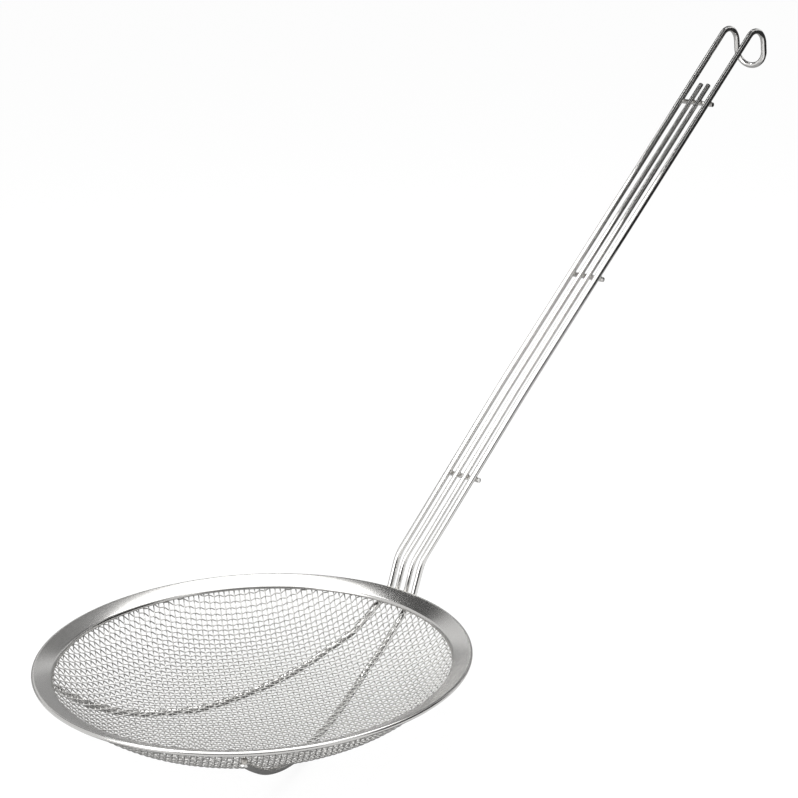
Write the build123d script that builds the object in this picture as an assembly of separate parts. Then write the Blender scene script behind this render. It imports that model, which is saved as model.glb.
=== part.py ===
from build123d import *
from math import asin, atan2, ceil, cos, degrees, hypot, radians, sin, sqrt, tan
import os

# A hand skimmer for deep frying: a shallow dish of woven steel mesh held in a
# folded sheet rim, on a handle of two bent wires and two straight ones.
# X runs from the dish towards the handle, Z is up and Y = 0 is the middle plane.
# The pieces are drawn about the middle of the rim, at the height of its top edge,
# and moved at the end so that the origin is under the middle of the whole part.

# Rim: one band of sheet folded round the edge of the mesh
rim_diameter = 203.2
rim_sheet = 0.5
rim_nose_radius = 1.1
rim_band_width = 9.75
rim_top_slope = 20.5
rim_lip_height = 0.9
rim_under_width = 6.3
rim_under_slope = 24.0

# The fold is drawn with flat steps and the lip with a sharp corner, because a small
# round swept round the whole rim would take more faces than the rest of the skimmer
rim_nose_steps = 5

# Mesh dish: a flat crown that runs into a tighter shoulder
dish_depth = 33.0
crown_radius = 292.0
crown_reach = 50.8
mesh_pitch = 2.54
mesh_wire = 0.6
mesh_layer_gap = 0.6
mesh_turn = 51.3

# A long mesh wire is drawn in this many straight steps each side of its middle,
# and the steps crowd towards the shoulder. Straight steps lie above the true curve,
# so the lower layer needs the closer ones to stay clear of the upper.
warp_steps = 4
weft_steps = 5
step_crowding_share = 0.65
step_length_share = 0.6

# Frame wire: both supports, both outer handle wires and the hanging hook
frame_wire = 3.15
weld_gap = 0.12
root_half_spacing = 7.75
bend_half_spacing = 7.9
hook_half_spacing = 8.8
bend_beyond_rim = 10.3
bend_height = 18.9
bend_radius = 10.0
root_bend_radius = 3.5
handle_angle = 38.0
hook_start = 349.0
hook_bend_radius = 8.6
hook_turn = 123.0
hook_leg = 4.1
hook_corner_relief = 0.1

# Supports under the dish, bent by hand: x and y of each bend, rim end to front
# end, as shares of the rim's radius
left_support_shares = (
    (0.80, 0.115),
    (0.655, 0.176),
    (0.51, 0.198),
    (0.374, 0.214),
    (0.14, 0.256),
    (-0.066, 0.298),
    (-0.285, 0.405),
    (-0.474, 0.514),
    (-0.60, 0.585),
    (-0.69, 0.636),
)
right_support_shares = (
    (0.80, -0.09),
    (0.65, -0.104),
    (0.54, -0.14),
    (0.43, -0.182),
    (0.22, -0.27),
    (0.0, -0.358),
    (-0.22, -0.455),
    (-0.42, -0.525),
    (-0.57, -0.588),
    (-0.67, -0.615),
)
support_relief = 0.6

# Inner handle wires and cross-bars
inner_wire = 2.5
inner_root_half_spacing = 2.8
inner_top_half_spacing = 2.36
inner_length = 312.0
inner_foot_drop = 0.5
cross_bar_wire = 2.5
cross_bar_half_length = 10.3
lower_bar_place = 47.0
middle_bar_place = 177.4
upper_bar_below_top = 11.1

rim_radius = rim_diameter / 2


# Rim section, as radius and height
nose_centre = Vector(rim_radius - rim_nose_radius, -rim_nose_radius)
top_down = Vector(-cos(radians(rim_top_slope)), -sin(radians(rim_top_slope)))
under_down = Vector(-cos(radians(rim_under_slope)), -sin(radians(rim_under_slope)))
nose_top = nose_centre + Vector(top_down.Y, -top_down.X) * rim_nose_radius
nose_under = nose_centre + Vector(-under_down.Y, under_down.X) * rim_nose_radius
lip_radius = rim_radius - rim_band_width
lip_corner = nose_top + top_down * ((nose_top.X - lip_radius) / -top_down.X)
lip_end = lip_corner - Vector(0, rim_lip_height)
under_end = nose_under + under_down * (rim_under_width / -under_down.X)


def make_rim():
    nose_start = atan2(nose_under.Y - nose_centre.Y, nose_under.X - nose_centre.X)
    nose_turn = atan2(nose_top.Y - nose_centre.Y, nose_top.X - nose_centre.X) - nose_start
    nose = []
    for step in range(1, rim_nose_steps):
        angle = nose_start + nose_turn * step / rim_nose_steps
        nose.append(nose_centre + Vector(cos(angle), sin(angle)) * rim_nose_radius)
    outside = Wire(Polyline(under_end, nose_under, *nose, nose_top, lip_corner, lip_end).edges())
    band = outside.offset_2d(rim_sheet, kind=Kind.INTERSECTION, side=Side.RIGHT)
    return revolve(Plane.XZ * make_face(band.edges()), Axis.Z)


# The middle of the mesh ends in the middle of the rim's mouth
mouth = (lip_end + Vector(rim_sheet, 0) + under_end) / 2
crown_slope = asin(crown_reach / crown_radius)
crown_centre_height = crown_radius - dish_depth
crown_end_height = crown_centre_height - crown_radius * cos(crown_slope)
shoulder_rise = mouth.Y - crown_end_height
shoulder_run = mouth.X - crown_reach
chord_slope = atan2(shoulder_rise, shoulder_run)
shoulder_radius = hypot(shoulder_rise, shoulder_run) / (2 * sin(chord_slope - crown_slope))
shoulder_centre_radius = crown_reach - shoulder_radius * sin(crown_slope)
shoulder_centre_height = crown_end_height + shoulder_radius * cos(crown_slope)


def dish_height(radius, inward):
    """Height of the dish at a radius, for the surface that lies inward of the mesh's middle."""
    if radius <= (crown_radius - inward) * sin(crown_slope):
        return crown_centre_height - sqrt((crown_radius - inward) ** 2 - radius**2)
    across = radius - shoulder_centre_radius
    return shoulder_centre_height - sqrt((shoulder_radius - inward) ** 2 - across**2)


mesh_reach = mouth.X
layer_offset = (mesh_wire + mesh_layer_gap) / 2


def make_mesh_wire(turn, place, inward, full_steps):
    """One mesh wire, straight in plan, laid on its layer of the dish."""
    half_length = sqrt(mesh_reach**2 - place**2)
    steps = ceil(full_steps * (half_length / mesh_reach) ** step_length_share)
    upper = []
    lower = []
    for step in range(-steps, steps + 1):
        share = (abs(step) / steps) ** step_crowding_share
        along = half_length * (share if step > 0 else -share)
        height = dish_height(hypot(along, place), inward)
        upper.append((along, height + mesh_wire / 2))
        lower.append((along, height - mesh_wire / 2))
    along_axis = Vector(cos(radians(turn)), sin(radians(turn)), 0)
    across_axis = Vector(sin(radians(turn)), -cos(radians(turn)), 0)
    side = Plane(origin=across_axis * (place - mesh_wire / 2), x_dir=along_axis, z_dir=across_axis)
    outline = make_face(Polyline(*upper, *reversed(lower), close=True))
    return extrude(side * outline, amount=mesh_wire)


def make_mesh_layer(turn, inward, full_steps):
    side_count = int((mesh_reach - mesh_wire) / mesh_pitch)
    places = [number * mesh_pitch for number in range(-side_count, side_count + 1)]
    return Compound([make_mesh_wire(turn, place, inward, full_steps).solid() for place in places])


# Handle lines in the middle plane, as x and z
def meeting(point, slope, other_point, other_slope):
    """Where two lines meet, each given by a point and its slope angle."""
    rise = other_point.Y - point.Y - (other_point.X - point.X) * tan(radians(other_slope))
    run = rise / (tan(radians(slope)) - tan(radians(other_slope)))
    return Vector(point.X + run, point.Y + run * tan(radians(slope)))


handle_bend = Vector(rim_radius + bend_beyond_rim, bend_height)
root_touch = Vector(rim_radius + frame_wire / 2 + weld_gap, nose_centre.Y)
root_slope = degrees(atan2(handle_bend.Y - root_touch.Y, handle_bend.X - root_touch.X))
under_stand_off = frame_wire / 2 + weld_gap
under_pass = nose_under + Vector(-under_down.Y, under_down.X) * under_stand_off
root_corner = meeting(root_touch, root_slope, under_pass, rim_under_slope)

handle_along = Vector(cos(radians(handle_angle)), 0, sin(radians(handle_angle)))
handle_up = Vector(-sin(radians(handle_angle)), 0, cos(radians(handle_angle)))


def on_handle(along, across, up):
    """A point on the handle: distance from the bend, to the left, and above the outer wires' axes."""
    return Vector(handle_bend.X, across, handle_bend.Y) + handle_along * along + handle_up * up


support_inward = -(layer_offset + mesh_wire / 2 + weld_gap + frame_wire / 2 + support_relief)


def support_points(shares):
    points = []
    for x_share, y_share in shares:
        x = rim_radius * x_share
        y = rim_radius * y_share
        points.append(Vector(x, y, dish_height(min(hypot(x, y), mouth.X), support_inward)))
    return points


def make_frame_wire():
    hook_tangent = hook_bend_radius * tan(radians(hook_turn / 2))
    hook_down = handle_along * cos(radians(hook_turn)) - handle_up * sin(radians(hook_turn))
    legs = []
    for side in (1, -1):
        hook_corner = on_handle(hook_start + hook_tangent, side * hook_half_spacing, 0)
        loop_corner = hook_corner + hook_down * (hook_tangent + hook_leg + hook_half_spacing)
        handle_corner = on_handle(0, side * bend_half_spacing, 0)
        root = Vector(root_corner.X, side * root_half_spacing, root_corner.Y)
        legs.append([root, handle_corner, hook_corner, loop_corner])
    left_leg, right_leg = legs
    left_points = support_points(left_support_shares)
    right_points = support_points(right_support_shares)
    radii = [root_bend_radius, bend_radius, hook_bend_radius, hook_half_spacing - hook_corner_relief]
    handle = FilletPolyline(
        left_points[0], *left_leg, *reversed(right_leg), right_points[0], radius=[*radii, *reversed(radii)]
    )
    left_support = Polyline(*reversed(left_points))
    right_support = Polyline(*right_points)
    path = Wire([*left_support.edges(), *handle.edges(), *right_support.edges()])
    section = Plane(origin=path @ 0, z_dir=path % 0) * Circle(frame_wire / 2)
    return sweep(section, path=path, transition=Transition.RIGHT)


def make_inner_wire(side):
    drop = (inner_wire - frame_wire) / 2
    top = on_handle(inner_length, side * inner_top_half_spacing, drop)
    foot_touch = Vector(rim_radius + inner_wire / 2 + weld_gap, nose_centre.Y)
    line_point = on_handle(0, 0, drop)
    bend = meeting(Vector(line_point.X, line_point.Z), handle_angle, foot_touch, root_slope)
    foot = foot_touch - Vector(inner_foot_drop / tan(radians(root_slope)), inner_foot_drop)
    path = FilletPolyline(
        top,
        Vector(bend.X, side * inner_root_half_spacing, bend.Y),
        Vector(foot.X, side * inner_root_half_spacing, foot.Y),
        radius=bend_radius,
    )
    return sweep(Plane(origin=path @ 0, z_dir=path % 0) * Circle(inner_wire / 2), path=path)


def make_cross_bar(place):
    drop = -(frame_wire + cross_bar_wire) / 2 - weld_gap
    end = Plane(origin=on_handle(place, -cross_bar_half_length, drop), z_dir=(0, 1, 0))
    return extrude(end * Circle(cross_bar_wire / 2), amount=2 * cross_bar_half_length)


nodes = {
    "rim_band": make_rim(),
    "mesh_warp_wires": make_mesh_layer(mesh_turn, layer_offset, warp_steps),
    "mesh_weft_wires": make_mesh_layer(mesh_turn - 90, -layer_offset, weft_steps),
    "handle_frame_wire": make_frame_wire(),
    "inner_wire_left": make_inner_wire(1),
    "inner_wire_right": make_inner_wire(-1),
    "cross_bar_lower": make_cross_bar(lower_bar_place),
    "cross_bar_middle": make_cross_bar(middle_bar_place),
    "cross_bar_upper": make_cross_bar(inner_length - upper_bar_below_top),
}

box = Compound(list(nodes.values())).bounding_box()
origin = Vector(box.center().X, 0, box.min.Z)
print("rim centre in the part's frame", -origin)

os.makedirs("parts", exist_ok=True)
for name, shape in nodes.items():
    export_step(Location(-origin) * shape, f"parts/{name}.step")
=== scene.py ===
from math import asin, atan2, cos, degrees, hypot, pi, radians, sin, sqrt, tan

import bmesh
import bpy
from mathutils import Matrix, Vector


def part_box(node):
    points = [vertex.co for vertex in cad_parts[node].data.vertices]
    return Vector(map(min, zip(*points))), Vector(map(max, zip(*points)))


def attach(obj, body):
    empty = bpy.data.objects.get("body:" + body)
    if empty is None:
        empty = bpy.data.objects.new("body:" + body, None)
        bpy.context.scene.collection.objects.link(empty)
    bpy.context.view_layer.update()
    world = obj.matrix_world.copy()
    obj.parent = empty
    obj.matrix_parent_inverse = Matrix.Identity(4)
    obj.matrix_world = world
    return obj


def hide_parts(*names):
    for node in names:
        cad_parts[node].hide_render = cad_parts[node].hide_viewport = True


# Skimmer of woven steel mesh in a folded rim, on a handle of four wires.
# Everything is drawn in mm about the middle of the rim, at the height of its top edge:
# X towards the handle, Y to the left, Z up. placeInFrame then carries it to the CAD frame.
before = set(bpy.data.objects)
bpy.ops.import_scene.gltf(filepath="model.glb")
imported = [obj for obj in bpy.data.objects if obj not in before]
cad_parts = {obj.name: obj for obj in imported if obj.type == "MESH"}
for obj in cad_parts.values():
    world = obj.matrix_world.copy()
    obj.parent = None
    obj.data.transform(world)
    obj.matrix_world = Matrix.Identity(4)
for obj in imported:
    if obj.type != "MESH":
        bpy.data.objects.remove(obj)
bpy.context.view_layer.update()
print("frame loaded:", ", ".join(sorted(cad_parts)))

mm = 0.001
body = "root"
mergeDistance = 0.001  # mm: points of a mesh nearer than this are one
foldAngle = 60  # degrees: an edge that turns more than this is a cut edge
edgeSegments = 2
rimLow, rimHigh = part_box("rim_band")
rimRadius = (rimHigh[1] - rimLow[1]) / 2 / mm
placeInFrame = Matrix.Translation(((rimLow[0] + rimHigh[0]) / 2, 0, rimHigh[2])) @ Matrix.Scale(mm, 4)


# Materials

def colourOf(hexValue):
    channels = [int(hexValue[i:i + 2], 16) / 255 for i in (1, 3, 5)]
    return (*[c / 12.92 if c <= 0.04045 else ((c + 0.055) / 1.055) ** 2.4 for c in channels], 1)


def addNode(tree, kind, inputs=(), links=(), **settings):
    node = tree.nodes.new(kind)
    for name, value in settings.items():
        setattr(node, name, value)
    for name, value in dict(inputs).items():
        node.inputs[name].default_value = value
    for name, source in dict(links).items():
        tree.links.new(source, node.inputs[name])
    return node


def newMaterial(name):
    material = bpy.data.materials.new(name)
    material.use_nodes = True
    material.node_tree.nodes.clear()
    return material, material.node_tree


def finishMetal(material, tree, metal, lines=None):
    shader = addNode(tree, "ShaderNodeBsdfPrincipled",
                     {"Base Color": colourOf(metal["colour"]), "Metallic": 1})
    if lines:
        # fine lines that vary the gloss and stand a little proud
        low, high = metal["roughness"]
        gloss = addNode(tree, "ShaderNodeMapRange", {"To Min": low, "To Max": high},
                        {"Value": lines.outputs["Fac"]})
        bump = addNode(tree, "ShaderNodeBump",
                       {"Strength": metal["bumpStrength"], "Distance": metal["lineDepth"] * mm},
                       {"Height": lines.outputs["Fac"]})
        tree.links.new(gloss.outputs["Result"], shader.inputs["Roughness"])
        tree.links.new(bump.outputs["Normal"], shader.inputs["Normal"])
    else:
        shader.inputs["Roughness"].default_value = metal["roughness"]
    addNode(tree, "ShaderNodeOutputMaterial", links={"Surface": shader.outputs["BSDF"]})
    return material


# 304 stainless, cold drawn through dies: bright, with hair lines along the wire,
# which lie about 0.25 mm apart round the thickest one
drawnWire = dict(colour="#d8d7d5", roughness=(0.12, 0.16), linesAround=40, linesAlong=1, lineDetail=2,
                 lineDepth=0.0004, bumpStrength=0.5)


def makeDrawnWire():
    material, tree = newMaterial("drawnStainlessWire")
    place = addNode(tree, "ShaderNodeUVMap")
    stretch = addNode(tree, "ShaderNodeMapping",
                      {"Scale": (drawnWire["linesAlong"], drawnWire["linesAround"], 1)},
                      {"Vector": place.outputs["UV"]})
    lines = addNode(tree, "ShaderNodeTexNoise", {"Scale": 1, "Detail": drawnWire["lineDetail"]},
                    {"Vector": stretch.outputs["Vector"]})
    return finishMetal(material, tree, drawnWire, lines)


# 304 stainless strip, cold rolled and folded: smooth, with faint rings from the forming rolls
rolledStrip = dict(colour="#c2c1bf", roughness=(0.15, 0.21), ringSpacing=0.35, runPerRadian=0.4,
                   lineDetail=3, lineDepth=0.002, bumpStrength=0.4)


def makeRolledStrip():
    # the rings follow the distance from the rim's axis, and change slowly with the turn about it
    material, tree = newMaterial("rolledStainlessStrip")
    place = addNode(tree, "ShaderNodeTexCoord")
    centred = addNode(tree, "ShaderNodeMapping", {"Location": -placeInFrame.to_translation()},
                      {"Vector": place.outputs["Object"]})
    parts = addNode(tree, "ShaderNodeSeparateXYZ", links={"Vector": centred.outputs["Vector"]})
    level = addNode(tree, "ShaderNodeCombineXYZ", links={"X": parts.outputs["X"], "Y": parts.outputs["Y"]})
    radius = addNode(tree, "ShaderNodeVectorMath", links={0: level.outputs["Vector"]}, operation="LENGTH")
    turn = addNode(tree, "ShaderNodeMath", links={0: parts.outputs["Y"], 1: parts.outputs["X"]},
                   operation="ARCTAN2")
    slowTurn = addNode(tree, "ShaderNodeMath", {1: rolledStrip["runPerRadian"] * mm},
                       {0: turn.outputs["Value"]}, operation="MULTIPLY")
    ring = addNode(tree, "ShaderNodeCombineXYZ", links={"X": radius.outputs["Value"],
                                                        "Y": slowTurn.outputs["Value"],
                                                        "Z": parts.outputs["Z"]})
    lines = addNode(tree, "ShaderNodeTexNoise",
                    {"Scale": 1 / (rolledStrip["ringSpacing"] * mm), "Detail": rolledStrip["lineDetail"]},
                    {"Vector": ring.outputs["Vector"]})
    return finishMetal(material, tree, rolledStrip, lines)


# 304 stainless wire cloth, plain weave: drawn wire, too fine to show its own lines
wireCloth = dict(colour="#bcbbb9", roughness=0.34)

# Weld metal of the same steel, left as it cooled and then polished: duller and a little darker
weldMetal = dict(colour="#b9b6b1", roughness=0.38)

wireSteel = makeDrawnWire()
stripSteel = makeRolledStrip()
clothSteel = finishMetal(*newMaterial("wovenStainlessCloth"), wireCloth)
weldSteel = finishMetal(*newMaterial("polishedWeldMetal"), weldMetal)
print("materials ready")


# Helpers

def addPiece(name, mesh, material, nodes=(), sharpAngle=40):
    mesh.transform(placeInFrame)
    mesh.materials.clear()
    mesh.materials.append(material)
    mesh.shade_smooth()
    mesh.set_sharp_from_angle(angle=radians(sharpAngle))
    piece = bpy.data.objects.new(name, mesh)
    bpy.context.collection.objects.link(piece)
    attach(piece, body)
    if nodes:
        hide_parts(*nodes)
    return piece


def meshFrom(name, bm):
    mesh = bpy.data.meshes.new(name)
    bm.to_mesh(mesh)
    bm.free()
    return mesh


def wireMesh(name, paths, radius, bevelSteps, cutBevel=0.0):
    # round wires along the paths, all in one mesh, with the burr taken off their cut ends
    curve = bpy.data.curves.new(name + "Path", "CURVE")
    curve.dimensions = "3D"
    curve.bevel_depth = radius
    curve.bevel_resolution = bevelSteps
    curve.use_fill_caps = True
    for path in paths:
        spline = curve.splines.new("POLY")
        spline.points.add(len(path) - 1)
        spline.points.foreach_set("co", [value for point in path for value in (*point, 1)])
    holder = bpy.data.objects.new(name + "Path", curve)
    bpy.context.collection.objects.link(holder)
    bpy.context.view_layer.update()
    mesh = bpy.data.meshes.new_from_object(holder.evaluated_get(bpy.context.evaluated_depsgraph_get()))
    mesh.name = name
    bpy.data.objects.remove(holder)
    bpy.data.curves.remove(curve)
    if cutBevel:
        bm = bmesh.new()
        bm.from_mesh(mesh)
        bmesh.ops.remove_doubles(bm, verts=bm.verts, dist=mergeDistance)
        shared = [e for e in bm.edges if len(e.link_faces) == 2]
        cutEdges = [e for e in shared if e.calc_face_angle() > radians(foldAngle)]
        bmesh.ops.bevel(bm, geom=cutEdges, offset=cutBevel, affect="EDGES", segments=edgeSegments,
                        profile=0.5, material=-1)
        bm.to_mesh(mesh)
        bm.free()
    return mesh


def arcPoints(corner, before, after, radius, stepAngle=6, leastTurn=0.5):
    # points of the arc that rounds a corner between two straight runs, unless it hardly turns
    back = (before - corner).normalized()
    ahead = (after - corner).normalized()
    turn = pi - back.angle(ahead)
    if turn < radians(leastTurn):
        return [corner]
    middle = (back + ahead).normalized()
    centre = corner + middle * (radius / cos(turn / 2))
    start = corner + back * radius * tan(turn / 2) - centre
    axis = back.cross(middle).normalized()
    count = max(2, round(degrees(turn) / stepAngle))
    return [centre + Matrix.Rotation(-turn * i / count, 3, axis) @ start for i in range(count + 1)]


def roundedPath(points, radii, stepAngle=6):
    path = [points[0]]
    for i, radius in enumerate(radii, start=1):
        path += arcPoints(points[i], points[i - 1], points[i + 1], radius, stepAngle)
    return path + [points[-1]]


# Rim: a strip folded round the edge of the mesh

rim = dict(sheet=0.5, noseRadius=1.1, bandWidth=9.75, topSlope=20.5, lipHeight=1.6, lipBend=2.0,
           lipStepAngle=14, underWidth=6.3, underSlope=24.0, noseSteps=14, sides=192, edgeRound=0.1)


def inwardDown(slope, length):
    # a run towards the rim's axis that falls at the slope
    return Vector((-cos(radians(slope)) * length, 0, -sin(radians(slope)) * length))


noseCentre = Vector((rimRadius - rim["noseRadius"], 0, -rim["noseRadius"]))
topOut = Vector((-sin(radians(rim["topSlope"])), 0, cos(radians(rim["topSlope"]))))
underOut = Vector((sin(radians(rim["underSlope"])), 0, -cos(radians(rim["underSlope"]))))
noseTop = noseCentre + topOut * rim["noseRadius"]
noseUnder = noseCentre + underOut * rim["noseRadius"]
lipRun = noseTop.x - (rimRadius - rim["bandWidth"])
lipCorner = noseTop + inwardDown(rim["topSlope"], lipRun / cos(radians(rim["topSlope"])))
lipEnd = lipCorner - Vector((0, 0, rim["lipHeight"]))
underEnd = noseUnder + inwardDown(rim["underSlope"], rim["underWidth"] / cos(radians(rim["underSlope"])))


def makeRim():
    # drawn as one line from the underside round the nose to the lip, spun, and given the sheet's thickness
    noseStart = rim["underSlope"] - 90
    noseTurn = 180 + rim["topSlope"] - rim["underSlope"]
    angles = [radians(noseStart + noseTurn * i / rim["noseSteps"]) for i in range(rim["noseSteps"] + 1)]
    nose = [noseCentre + Vector((cos(a), 0, sin(a))) * rim["noseRadius"] for a in angles]
    lip = arcPoints(lipCorner, noseTop, lipEnd, rim["lipBend"], rim["lipStepAngle"])
    profile = [underEnd, *nose, *lip, lipEnd]
    bm = bmesh.new()
    verts = [bm.verts.new(p) for p in profile]
    edges = [bm.edges.new(pair) for pair in zip(verts, verts[1:])]
    bmesh.ops.spin(bm, geom=verts + edges, cent=(0, 0, 0), axis=(0, 0, 1), angle=2 * pi,
                   steps=rim["sides"], use_merge=True)
    bmesh.ops.remove_doubles(bm, verts=bm.verts, dist=mergeDistance)
    bmesh.ops.recalc_face_normals(bm, faces=bm.faces)
    piece = addPiece("rimBand", meshFrom("rimBand", bm), stripSteel, ["rim_band"])
    wall = piece.modifiers.new("sheet", "SOLIDIFY")
    wall.thickness = rim["sheet"] * mm
    wall.offset = -1
    wall.use_even_offset = True
    edge = piece.modifiers.new("sheetEdge", "BEVEL")
    edge.width = rim["edgeRound"] * mm
    edge.segments = edgeSegments
    edge.limit_method = "ANGLE"
    edge.angle_limit = radians(foldAngle)


makeRim()
print("rim made")


# Mesh dish: a flat crown that runs into a tighter shoulder

dish = dict(depth=33.0, crownRadius=292.0, crownReach=50.8, pitch=2.54, wire=0.6, tuck=0.3, turn=51.3,
            stepsPerPitch=4, bevelSteps=1, sharpAngle=75)

mouth = (lipEnd + Vector((rim["sheet"], 0, 0)) + underEnd) / 2
crownSlope = asin(dish["crownReach"] / dish["crownRadius"])
crownCentre = dish["crownRadius"] - dish["depth"]
crownEnd = crownCentre - dish["crownRadius"] * cos(crownSlope)
chordRise = mouth.z - crownEnd
chordRun = mouth.x - dish["crownReach"]
shoulderRadius = hypot(chordRise, chordRun) / (2 * sin(atan2(chordRise, chordRun) - crownSlope))
shoulderOut = dish["crownReach"] - shoulderRadius * sin(crownSlope)
shoulderCentre = crownEnd + shoulderRadius * cos(crownSlope)
clothReach = mouth.x + dish["tuck"]


def dishHeight(radius, lift):
    # height of the dish at a radius, or of the surface that lies this far inside it
    if radius <= (dish["crownRadius"] - lift) * sin(crownSlope):
        return crownCentre - sqrt((dish["crownRadius"] - lift) ** 2 - radius ** 2)
    return shoulderCentre - sqrt((shoulderRadius - lift) ** 2 - (radius - shoulderOut) ** 2)


def wovenPath(turn, number, over):
    # one wire of the weave, over one crossing wire and under the next
    place = number * dish["pitch"]
    step = dish["pitch"] / dish["stepsPerPitch"]
    half = sqrt(clothReach ** 2 - place ** 2)
    count = int(half / step)
    path = []
    for along in [-half, *[i * step for i in range(-count, count + 1)], half]:
        lift = over * (-1) ** number * dish["wire"] / 2 * cos(pi * along / dish["pitch"])
        path.append((along * cos(turn) + place * sin(turn), along * sin(turn) - place * cos(turn),
                     dishHeight(hypot(along, place), lift)))
    return path


def makeCloth():
    last = int((clothReach - dish["wire"]) / dish["pitch"])
    for kind, turn, over, node in (("Warp", dish["turn"], 1, "mesh_warp_wires"),
                                   ("Weft", dish["turn"] - 90, -1, "mesh_weft_wires")):
        for half, numbers in (("A", range(-last, 0)), ("B", range(last + 1))):
            paths = [wovenPath(radians(turn), number, over) for number in numbers]
            name = "mesh" + kind + half
            addPiece(name, wireMesh(name, paths, dish["wire"] / 2, dish["bevelSteps"]), clothSteel,
                     [node], dish["sharpAngle"])


makeCloth()
print("mesh woven")


# Handle wires

handle = dict(bendBeyondRim=10.3, bendHeight=18.9, bendRadius=18.0, bendBack=4.8, angle=38.0, bow=2.6,
              bowReach=100.0, bowRadius=900.0, gap=0.12, cutBevel=0.25, bevelSteps=10)
outer = dict(wire=3.15, rootSpacing=7.75, bendSpacing=7.9, hookSpacing=8.8, rootBend=3.5, hookStart=349.0,
             hookBend=8.6, hookTurn=123.0, hookLeg=4.1, loopRelief=0.1, supportBend=30.0, supportGap=0.1,
             supportStep=2.5, supportStepAngle=3)
inner = dict(wire=2.5, rootSpacing=2.8, topSpacing=2.36, length=312.0, footDrop=0.5)
bars = dict(wire=2.5, halfLength=10.3, places=(47.0, 177.4, 300.9))

# supports under the dish, as shares of the rim's radius
leftSupport = ((0.80, 0.115), (0.655, 0.176), (0.51, 0.198), (0.374, 0.214), (0.14, 0.256), (-0.066, 0.298),
               (-0.285, 0.405), (-0.474, 0.514), (-0.60, 0.585), (-0.69, 0.636))
rightSupport = ((0.80, -0.09), (0.65, -0.104), (0.54, -0.14), (0.43, -0.182), (0.22, -0.27), (0.0, -0.358),
                (-0.22, -0.455), (-0.42, -0.525), (-0.57, -0.588), (-0.67, -0.615))

handleBend = Vector((rimRadius + handle["bendBeyondRim"], 0, handle["bendHeight"]))
handleAlong = Vector((cos(radians(handle["angle"])), 0, sin(radians(handle["angle"]))))
handleUp = Vector((-handleAlong.z, 0, handleAlong.x))


def onHandle(along, across, up=0.0):
    # the wires bow down a little towards the bend
    bow = handle["bow"] * max(0.0, 1 - along / handle["bowReach"])
    return handleBend + handleAlong * along + Vector((0, across, 0)) + handleUp * (up - bow)


def crossing(point, slope, otherPoint, otherSlope):
    # where two lines in the middle plane meet, each given by a point and a slope
    a, b = tan(radians(slope)), tan(radians(otherSlope))
    run = (otherPoint.z - point.z - (otherPoint.x - point.x) * b) / (a - b)
    return Vector((point.x + run, 0, point.z + run * a))


standOff = outer["wire"] / 2 + handle["gap"]
rootTouch = Vector((rimRadius + standOff, 0, noseCentre.z))
rootSlope = degrees(atan2(handleBend.z - rootTouch.z, handleBend.x - rootTouch.x))
rootCorner = crossing(rootTouch, rootSlope, noseUnder + underOut * standOff, rim["underSlope"])


def supportPath(shares):
    # bent by hand in plan, and laid against the underside of the mesh all along
    corners = [Vector((x * rimRadius, y * rimRadius, 0)) for x, y in shares]
    plan = roundedPath(corners, [outer["supportBend"]] * (len(corners) - 2), outer["supportStepAngle"])
    drop = dish["wire"] + outer["wire"] / 2 + outer["supportGap"]
    path = []
    for start, end in zip(plan, plan[1:]):
        pieces = max(1, round((end - start).length / outer["supportStep"]))
        path += [start.lerp(end, i / pieces) for i in range(pieces)]
    return [Vector((p.x, p.y, dishHeight(min(p.xy.length, mouth.x), -drop))) for p in [*path, plan[-1]]]


def framePath():
    # one wire: a support, up the handle, over the hook, round the loop, and back to the other support
    hookTangent = outer["hookBend"] * tan(radians(outer["hookTurn"] / 2))
    hookDown = handleAlong * cos(radians(outer["hookTurn"])) - handleUp * sin(radians(outer["hookTurn"]))
    supports = [supportPath(leftSupport), supportPath(rightSupport)]
    legs = []
    for side in (1, -1):
        corner = onHandle(outer["hookStart"] + hookTangent, side * outer["hookSpacing"])
        loop = corner + hookDown * (hookTangent + outer["hookLeg"] + outer["hookSpacing"])
        root = rootCorner + Vector((0, side * outer["rootSpacing"], 0))
        spread = (outer["hookSpacing"] - outer["bendSpacing"]) * handle["bowReach"] / outer["hookStart"]
        legs.append([root, onHandle(-handle["bendBack"], side * outer["bendSpacing"]),
                     onHandle(handle["bowReach"], side * (outer["bendSpacing"] + spread)), corner, loop])
    radii = [outer["rootBend"], handle["bendRadius"], handle["bowRadius"], outer["hookBend"],
             outer["hookSpacing"] - outer["loopRelief"]]
    middle = roundedPath([supports[0][0], *legs[0], *legs[1][::-1], supports[1][0]], radii + radii[::-1])
    return supports[0][::-1] + middle[1:-1] + supports[1], supports


def innerPath(side):
    # from the cut end below the hook down to the rim's outer edge
    drop = (inner["wire"] - outer["wire"]) / 2
    footTouch = Vector((rimRadius + inner["wire"] / 2 + handle["gap"], 0, noseCentre.z))
    bowed = onHandle(handle["bowReach"], 0, drop) - onHandle(0, 0, drop)
    bend = crossing(onHandle(0, 0, drop), degrees(atan2(bowed.z, bowed.x)), footTouch, rootSlope)
    share = handle["bowReach"] / inner["length"]
    spacing = inner["rootSpacing"] + (inner["topSpacing"] - inner["rootSpacing"]) * share
    foot = footTouch - Vector((inner["footDrop"] / tan(radians(rootSlope)), 0, inner["footDrop"]))
    out = Vector((0, side * inner["rootSpacing"], 0))
    return roundedPath([onHandle(inner["length"], side * inner["topSpacing"], drop),
                        onHandle(handle["bowReach"], side * spacing, drop), bend + out, foot + out],
                       [handle["bowRadius"], handle["bendRadius"]])


framePoints, supports = framePath()


def addWire(name, path, thickness, node):
    mesh = wireMesh(name, [path], thickness / 2, handle["bevelSteps"], handle["cutBevel"])
    addPiece(name, mesh, wireSteel, [node])


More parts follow.
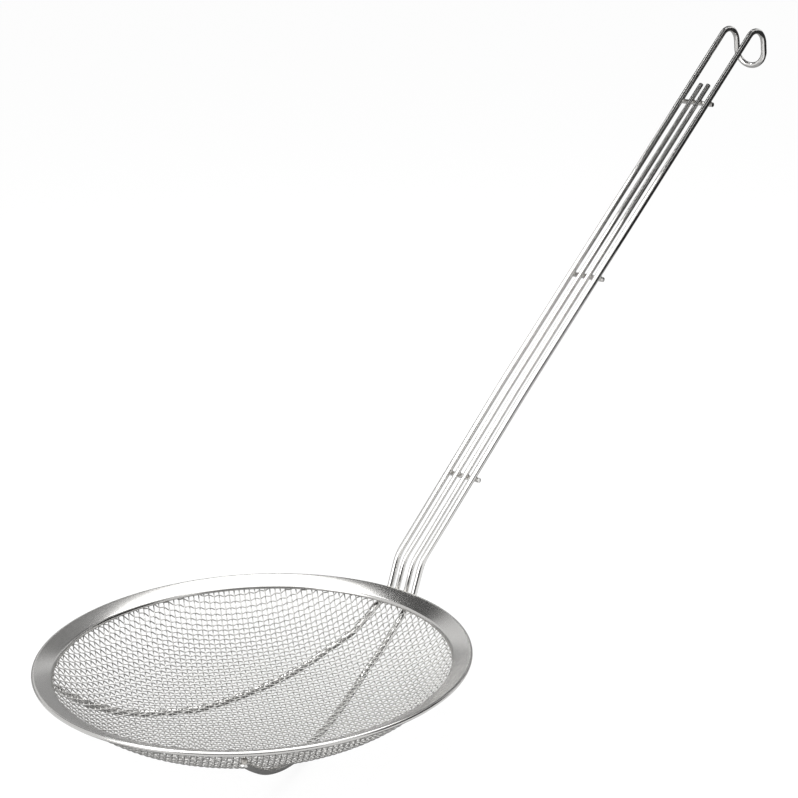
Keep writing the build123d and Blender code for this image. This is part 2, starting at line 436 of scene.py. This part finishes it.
def makeHandle():
    addWire("frameWire", framePoints, outer["wire"], "handle_frame_wire")
    for side, name, node in ((1, "innerWireLeft", "inner_wire_left"),
                             (-1, "innerWireRight", "inner_wire_right")):
        addWire(name, innerPath(side), inner["wire"], node)
    drop = -(outer["wire"] + bars["wire"]) / 2 - handle["gap"]
    for place, name, node in zip(bars["places"], ("crossBarLower", "crossBarMiddle", "crossBarUpper"),
                                 ("cross_bar_lower", "cross_bar_middle", "cross_bar_upper")):
        ends = [onHandle(place, side * bars["halfLength"], drop) for side in (-1, 1)]
        addWire(name, ends, bars["wire"], node)


makeHandle()
print("handle made")


# Welds: small beads where wires cross bars and meet the rim

welds = dict(barSize=(1.5, 1.1, 0.8), rootSize=(1.5, 1.5, 1.0), rootDrop=0.2, endSize=(1.6, 1.6, 1.7),
             subdivisions=3)


def makeWelds():
    bm = bmesh.new()

    def bead(place, size, turn):
        shape = Matrix.Translation(place) @ turn.to_4x4() @ Matrix.Diagonal((*size, 1))
        bmesh.ops.create_icosphere(bm, subdivisions=welds["subdivisions"], radius=1, matrix=shape)

    tilt = Matrix((handleAlong, (0, 1, 0), handleUp)).transposed()
    for place in bars["places"]:
        share, innerShare = place / outer["hookStart"], place / inner["length"]
        outerSpacing = outer["bendSpacing"] + (outer["hookSpacing"] - outer["bendSpacing"]) * share
        innerSpacing = inner["rootSpacing"] + (inner["topSpacing"] - inner["rootSpacing"]) * innerShare
        for across in (outerSpacing, innerSpacing, -innerSpacing, -outerSpacing):
            bead(onHandle(place, across, -outer["wire"] / 2), welds["barSize"], tilt)
    for across in (inner["rootSpacing"], -inner["rootSpacing"], outer["rootSpacing"], -outer["rootSpacing"]):
        root = Vector((rimRadius, across, noseCentre.z - welds["rootDrop"]))
        bead(root, welds["rootSize"], Matrix.Identity(3))
    for points in supports:
        # between the support's end and the edge of the rim's lower leaf
        outwards = Vector((points[-1].x, points[-1].y, 0)).normalized()
        leafEdge = outwards * underEnd.x + Vector((0, 0, underEnd.z))
        bead(points[-2].lerp(leafEdge, 0.5), welds["endSize"], Matrix.Identity(3))
    addPiece("weldBeads", meshFrom("weldBeads", bm), weldSteel)


makeWelds()
print("welds made")


# Camera: where the photograph was taken from, about the rim's middle

shot = dict(place=(-692.0, -732.2, 441.0), heading=42.56, dip=17.63, roll=-1.82, lens=106.65, sensor=36.0,
            clip=(0.01, 50.0))


def makeCamera():
    data = bpy.data.cameras.new("camera")
    data.lens = shot["lens"]
    data.sensor_width = shot["sensor"]
    data.clip_start, data.clip_end = shot["clip"]
    camera = bpy.data.objects.new("camera", data)
    bpy.context.collection.objects.link(camera)
    turn = (Matrix.Rotation(radians(shot["heading"] - 90), 4, "Z")
            @ Matrix.Rotation(radians(90 - shot["dip"]), 4, "X")
            @ Matrix.Rotation(radians(shot["roll"]), 4, "Z"))
    camera.matrix_world = Matrix.Translation(placeInFrame @ Vector(shot["place"])) @ turn
    bpy.context.scene.camera = camera


makeCamera()
print("camera set")


# Light: white surroundings, three soft boxes, and cards that show only as reflections in the steel

studio = dict(world="#ffffff", worldStrength=0.9, floor="#f4f4f4", floorRadius=9000.0, floorSides=96,
              floorGlow=0.88)
lamps = (
    dict(name="overheadBox", heading=45, height=68, away=900, size=(800, 500), power=6.0),
    dict(name="leftBox", heading=165, height=35, away=1000, size=(500, 700), power=4.0),
    dict(name="boxOverCamera", heading=225, height=62, away=1200, size=(1400, 500), power=4.0),
)
cards = (
    dict(name="cardBehindHandle", heading=70, height=43, away=900, size=(520, 290), colour="#0c0c0c"),
    dict(name="cardBehindBowl", heading=22, height=38, away=900, size=(760, 340), colour="#7a7a7a"),
    dict(name="backdropBehind", heading=45, height=8, away=1000, size=(2600, 460), colour="#989898"),
    dict(name="cardBelowCamera", heading=222, height=12, away=1200, size=(1600, 560), colour="#484848"),
    dict(name="cardRight", heading=310, height=24, away=1200, size=(1100, 800), colour="#202020"),
)
# a grey sheet on the floor behind, which darkens the far edges of the wires,
# and a painted shadow under the bowl: a grey sheet, seen only in reflections, that stands for the bowl's own
# shadow on the floor
floorSheets = (
    dict(name="sheetBehind", heading=45, start=125, size=(1700, 700), above=0.5, colour="#8a8a8a"),
    dict(name="paintedShadowUnderBowl", heading=45, start=-90, size=(180, 180), above=0.5, colour="#787878"),
)
# shades round the top of the handle: turned about its length from its left side
shades = (
    dict(name="shadeOverHook", along=500, turn=90, away=160, size=(320, 280), colour="#262626"),
    dict(name="shadeRightOfHook", along=440, turn=180, away=160, size=(380, 260), colour="#262626"),
    dict(name="shadeLeftOfHook", along=525, turn=0, away=160, size=(280, 260), colour="#262626"),
    dict(name="shadeUnderHook", along=440, turn=238, away=150, size=(340, 160), colour="#262626"),
)


def facing(heading, height, away):
    # a place seen from the rim's middle at a heading and height, and the turn that faces it
    h, v = radians(heading), radians(height)
    out = Vector((cos(h) * cos(v), sin(h) * cos(v), sin(v)))
    return Matrix.Translation(placeInFrame @ (out * away)) @ out.to_track_quat("Z", "Y").to_matrix().to_4x4()


def roundHandle(along, turn, away):
    # a place beside the handle, and the turn that faces it
    out = Vector((0, cos(radians(turn)), 0)) + handleUp * sin(radians(turn))
    place = handleBend + handleAlong * along + out * away
    turned = Matrix((handleAlong, out.cross(handleAlong), out)).transposed().to_4x4()
    return Matrix.Translation(placeInFrame @ place) @ turned


def makeCard(card, place):
    material, tree = newMaterial(card["name"])
    matt = addNode(tree, "ShaderNodeBsdfDiffuse", {"Color": colourOf(card["colour"])})
    addNode(tree, "ShaderNodeOutputMaterial", links={"Surface": matt.outputs["BSDF"]})
    bm = bmesh.new()
    bmesh.ops.create_grid(bm, x_segments=1, y_segments=1, size=0.5)  # a square of 1, scaled next
    bmesh.ops.scale(bm, vec=(card["size"][0] * mm, card["size"][1] * mm, 1), verts=bm.verts)
    bmesh.ops.transform(bm, matrix=place, verts=bm.verts)
    mesh = meshFrom(card["name"], bm)
    mesh.materials.append(material)
    board = bpy.data.objects.new(card["name"], mesh)
    bpy.context.collection.objects.link(board)
    board.visible_camera = False
    board.visible_diffuse = False
    board.visible_shadow = False


def lookedAt(tree):
    # 1 for what the camera, a reflection or glass looks at, and 0 for what only lights the object
    lightPath = addNode(tree, "ShaderNodeLightPath")
    seen = addNode(tree, "ShaderNodeMath", links={0: lightPath.outputs["Is Camera Ray"],
                                                  1: lightPath.outputs["Is Glossy Ray"]}, operation="MAXIMUM")
    seenToo = addNode(tree, "ShaderNodeMath", links={0: seen.outputs["Value"],
                                                     1: lightPath.outputs["Is Transmission Ray"]},
                      operation="MAXIMUM")
    return seenToo.outputs["Value"]


def makeFloor():
    material, tree = newMaterial("paleFloor")
    seen = lookedAt(tree)
    plain = addNode(tree, "ShaderNodeBsdfDiffuse", {"Color": colourOf(studio["floor"])})
    glow = addNode(tree, "ShaderNodeEmission", {"Color": colourOf(studio["world"]), "Strength": 1})
    mixed = addNode(tree, "ShaderNodeMixShader", {"Fac": studio["floorGlow"]},
                    {1: plain.outputs["BSDF"], 2: glow.outputs["Emission"]})
    shown = addNode(tree, "ShaderNodeMixShader",
                    links={"Fac": seen, 1: plain.outputs["BSDF"], 2: mixed.outputs["Shader"]})
    addNode(tree, "ShaderNodeOutputMaterial", links={"Surface": shown.outputs["Shader"]})
    bm = bmesh.new()
    bmesh.ops.create_circle(bm, cap_ends=True, segments=studio["floorSides"],
                            radius=studio["floorRadius"] * mm)
    mesh = meshFrom("floor", bm)
    mesh.materials.append(material)
    floor = bpy.data.objects.new("floor", mesh)
    bpy.context.collection.objects.link(floor)


def makeWorld():
    world = bpy.data.worlds.new("world")
    bpy.context.scene.world = world
    world.use_nodes = True
    tree = world.node_tree
    tree.nodes.clear()
    seen = lookedAt(tree)
    dim = addNode(tree, "ShaderNodeBackground", {"Color": colourOf(studio["world"]),
                                                 "Strength": studio["worldStrength"]})
    white = addNode(tree, "ShaderNodeBackground", {"Color": colourOf(studio["world"]), "Strength": 1})
    mixed = addNode(tree, "ShaderNodeMixShader",
                    links={"Fac": seen, 1: dim.outputs["Background"], 2: white.outputs["Background"]})
    addNode(tree, "ShaderNodeOutputWorld", links={"Surface": mixed.outputs["Shader"]})


def makeLamps():
    for lamp in lamps:
        data = bpy.data.lights.new(lamp["name"], "AREA")
        data.shape = "RECTANGLE"
        data.size, data.size_y = [side * mm for side in lamp["size"]]
        data.energy = lamp["power"]
        box = bpy.data.objects.new(lamp["name"], data)
        bpy.context.collection.objects.link(box)
        box.matrix_world = facing(lamp["heading"], lamp["height"], lamp["away"])
        box.visible_camera = False


def makeCards():
    for card in cards:
        makeCard(card, facing(card["heading"], card["height"], card["away"]))
    for shade in shades:
        makeCard(shade, roundHandle(shade["along"], shade["turn"], shade["away"]))
    for sheet in floorSheets:
        spin = Matrix.Rotation(radians(sheet["heading"] - 90), 4, "Z")
        middle = Vector((0, sheet["start"] + sheet["size"][1] / 2, 0)) * mm
        floorLevel = Vector((placeInFrame.translation.x, 0, sheet["above"] * mm))
        makeCard(sheet, Matrix.Translation(floorLevel + spin @ middle) @ spin)


makeFloor()
makeWorld()
makeLamps()
makeCards()
bpy.context.scene.view_settings.view_transform = "Standard"
print("stage and light set")
